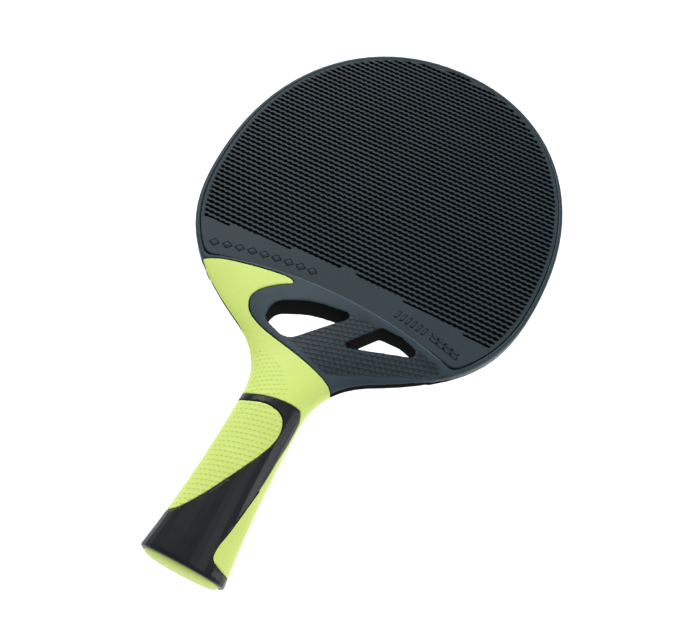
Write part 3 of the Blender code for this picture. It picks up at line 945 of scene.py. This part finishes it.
# Near-black painted shade for the deep grooves and the rings round the moulded shapes.
groove_shade_paint = finish("groove_shade", GROOVE_SHADE_COLOUR, 0.9, 1800.0, 0.3, shine=0.05)
cage_plastic = finish("cage_gloss", CAGE, 0.30, 2400.0, 0.12, shine=0.3)
soft_green = finish("soft_lime", GREEN, 0.55, 4200.0, 0.25, spread=0.03)
neck_green = finish("dotted_lime_neck", GREEN, 0.55, 4200.0, 0.25, spread=0.03)
pad_green = finish("dotted_lime_pad", GREEN, 0.55, 4200.0, 0.25, spread=0.03)
# Near-black painted shade, matte, for the upright walls.
wall_shade_paint = finish("wall_painted_shade_matte", WALL_SHADE_COLOUR, 0.9, 1800.0, 0.3, shine=0.05)
foam = finish("closed_cell_foam", FOAM_COLOUR, 0.9, 1500.0, 0.8)
# These paint shadow, shade and a highlight onto the slate finish of the throat and arch.
add_ridges(dark_plastic)
add_edge_line(dark_plastic)
# The dots' deeper green is painted shade.
add_dots(neck_green, NECK_DOT_ANGLE)
add_dots(pad_green, PAD_DOT_ANGLE)


# ---------------------------------------------------------------- build


def mark_walls(mesh):
    """Gives the walls of the openings and the outer wall of the throat a near-black painted shade
    with a matte finish.
    """
    count = len(mesh.polygons)
    centres = np.empty(count * 3, np.float32)
    normals = np.empty(count * 3, np.float32)
    mesh.polygons.foreach_get("center", centres)
    mesh.polygons.foreach_get("normal", normals)
    centres = local(centres.reshape(-1, 3).astype(float))
    normals = normals.reshape(-1, 3)
    upright = np.abs(normals[:, 2]) < WALL_UPRIGHT
    x, y = np.abs(centres[:, 0]), centres[:, 1]
    inner = (x < half_width(y) - OPENINGS_INSET) & (x < OPENINGS_X)
    inner &= (y > OPENINGS_Y[0]) & (y < OPENINGS_Y[1])
    outer = (x > half_width(y) - OUTER_INSET) & (y < OUTER_END_Y)
    outer &= centres[:, 2] < np.interp(y, OUTER_BAND_Y, OUTER_BAND_Z)
    index = np.where(upright & (inner | outer), 1, 0).astype(np.int32)
    mesh.polygons.foreach_set("material_index", index)


def inside_area(points, area, fade):
    """How far inside an area each point is: 0 outside, 1 from a fade's width inside."""
    distance = np.full(len(points), 1e9)
    crossings = np.zeros(len(points), int)
    corners = np.array(area)
    for (x0, y0), (x1, y1) in zip(corners, np.roll(corners, -1, 0)):
        edge = np.array([x1 - x0, y1 - y0])
        t = np.clip(((points - (x0, y0)) @ edge) / (edge @ edge), 0, 1)
        gap = np.linalg.norm(points - (x0, y0) - t[:, None] * edge, axis=1)
        distance = np.minimum(distance, gap)
        spans = (points[:, 1] < y0) != (points[:, 1] < y1)
        crossing_x = x0 + (points[:, 1] - y0) * (x1 - x0) / (y1 - y0 + 1e-12)
        crossings += spans & (points[:, 0] < crossing_x)
    return np.where(crossings % 2 == 1, smooth_step(0, fade, distance), 0.0)


def mark_pattern(mesh, area=None, fade=1.0):
    """Marks the front and rear faces in an area, or all of them, for the finish's pattern."""
    share = smooth_step(*PATTERN_FACING, np.abs(read_normals(mesh)[:, 2]))
    if area:
        share = inside_area(local(read_points(mesh))[:, :2], area, fade) * share
    layer = mesh.attributes.new("pattern", "FLOAT", "POINT")
    layer.data.foreach_set("value", share.astype(np.float32))


core_mesh = refined("blade_core", voxel=0.45, faces=180000)
mark_pattern(core_mesh, RIDGE_AREA, RIDGE_FADE)
add_piece("frame_moulding", core_mesh, [dark_plastic, wall_shade_paint], "dark_plastic", "blade_core")
mark_walls(core_mesh)

for side_name, side in (("front", 1), ("rear", -1)):
    sheet, shaded = rubber_mesh(side, band_relief())
    name, node = f"ribbed_rubber_{side_name}", f"rubber_{side_name}"
    add_piece(name, sheet, [rubber_finish, groove_shade_paint], "rubber", node)
    sheet.polygons.foreach_set("material_index", shaded)

grip_mesh = crisp("soft_grip")
mark_pattern(grip_mesh, NECK_AREA, NECK_FADE)
add_piece("soft_grip_skin", grip_mesh, [neck_green], "soft_green", "soft_grip")
pad_mesh = refined("grip_pad", voxel=0.35, faces=60000)
mark_pattern(pad_mesh)
add_piece("soft_pad_skin", pad_mesh, [pad_green], "soft_green", "grip_pad")
for side_name in ("front", "rear"):
    node = f"handle_cage_{side_name}"
    add_piece(f"cage_{side_name}", crisp(node), [cage_plastic], "cage_plastic", node)
cap_mesh = refined("butt_cap", voxel=0.35, faces=40000, snap=False)
add_piece("cap_skin", cap_mesh, [soft_green], "soft_green", "butt_cap")

for node in ("sponge_front", "sponge_rear"):
    sheet = frame["nodes"][node]
    sheet.data.materials.clear()
    sheet.data.materials.append(foam)


# ---------------------------------------------------------------- studio


def placed(data, right, up, back, place):
    """A lamp or camera with the given axes and place."""
    thing = bpy.data.objects.new(data.name, data)
    bpy.context.scene.collection.objects.link(thing)
    columns = np.array([right, up, back, place]).T.tolist()
    thing.matrix_world = Matrix([*columns, [0, 0, 0, 1]])
    return thing


floor_mesh = bpy.data.meshes.new("floor")
floor_mesh.from_pydata(
    [(x * FLOOR_HALF, y * FLOOR_HALF, 0) for x, y in ((-1, -1), (1, -1), (1, 1), (-1, 1))],
    [],
    [(0, 1, 2, 3)],
)
floor = bpy.data.objects.new("floor", floor_mesh)
floor.location = (*FLOOR_MIDDLE, FLOOR_DEPTH)
bpy.context.scene.collection.objects.link(floor)
floor_material, floor_tree, floor_shader = new_material("pale_floor", FLOOR_COLOUR, 0.9)
floor_place = floor_tree.nodes.new("ShaderNodeTexCoord")
from_middle = floor_tree.nodes.new("ShaderNodeVectorMath")
from_middle.operation = "LENGTH"
link(floor_tree, floor_place.outputs["Object"], from_middle.inputs[0])
reach = remapped(floor_tree, from_middle.outputs["Value"], from_max=FLOOR_HALF)
glow = grey_ramp(floor_tree, reach, *FLOOR_GLOW)
link(floor_tree, glow, floor_shader.inputs["Emission Color"])
floor_shader.inputs["Emission Strength"].default_value = 1.0
floor_mesh.materials.append(floor_material)

for name, place, width, height, power in LAMPS:
    lamp = bpy.data.lights.new(name, "AREA")
    lamp.shape = "RECTANGLE"
    lamp.size, lamp.size_y = width, height
    lamp.energy = power
    back = np.array(place) / np.linalg.norm(place)
    right = np.cross((0, 1, 0.01), back)
    right /= np.linalg.norm(right)
    placed(lamp, right, np.cross(back, right), back, place)

studio = bpy.data.worlds.new("studio")
bpy.context.scene.world = studio
studio.use_nodes = True
sky = studio.node_tree.nodes.new("ShaderNodeTexCoord")
heading = studio.node_tree.nodes.new("ShaderNodeSeparateXYZ")
link(studio.node_tree, sky.outputs["Generated"], heading.inputs["Vector"])
heights = grey_ramp(studio.node_tree, heading.outputs["Z"], *SKY)
background = studio.node_tree.nodes["Background"]
link(studio.node_tree, heights, background.inputs["Color"])
background.inputs["Strength"].default_value = 1.0

lens = bpy.data.cameras.new("camera")
lens.lens = LENS
lens.sensor_width = SENSOR
lens.clip_start = 0.01
lens.clip_end = 50.0
place = np.array(CAMERA_PLACE) + (0, -OFFSET_Y * MM, RUBBER_TOP * MM)
camera = placed(lens, CAMERA_RIGHT, CAMERA_UP, CAMERA_BACK, place)
bpy.context.scene.camera = camera
bpy.context.scene.view_settings.view_transform = "Standard"
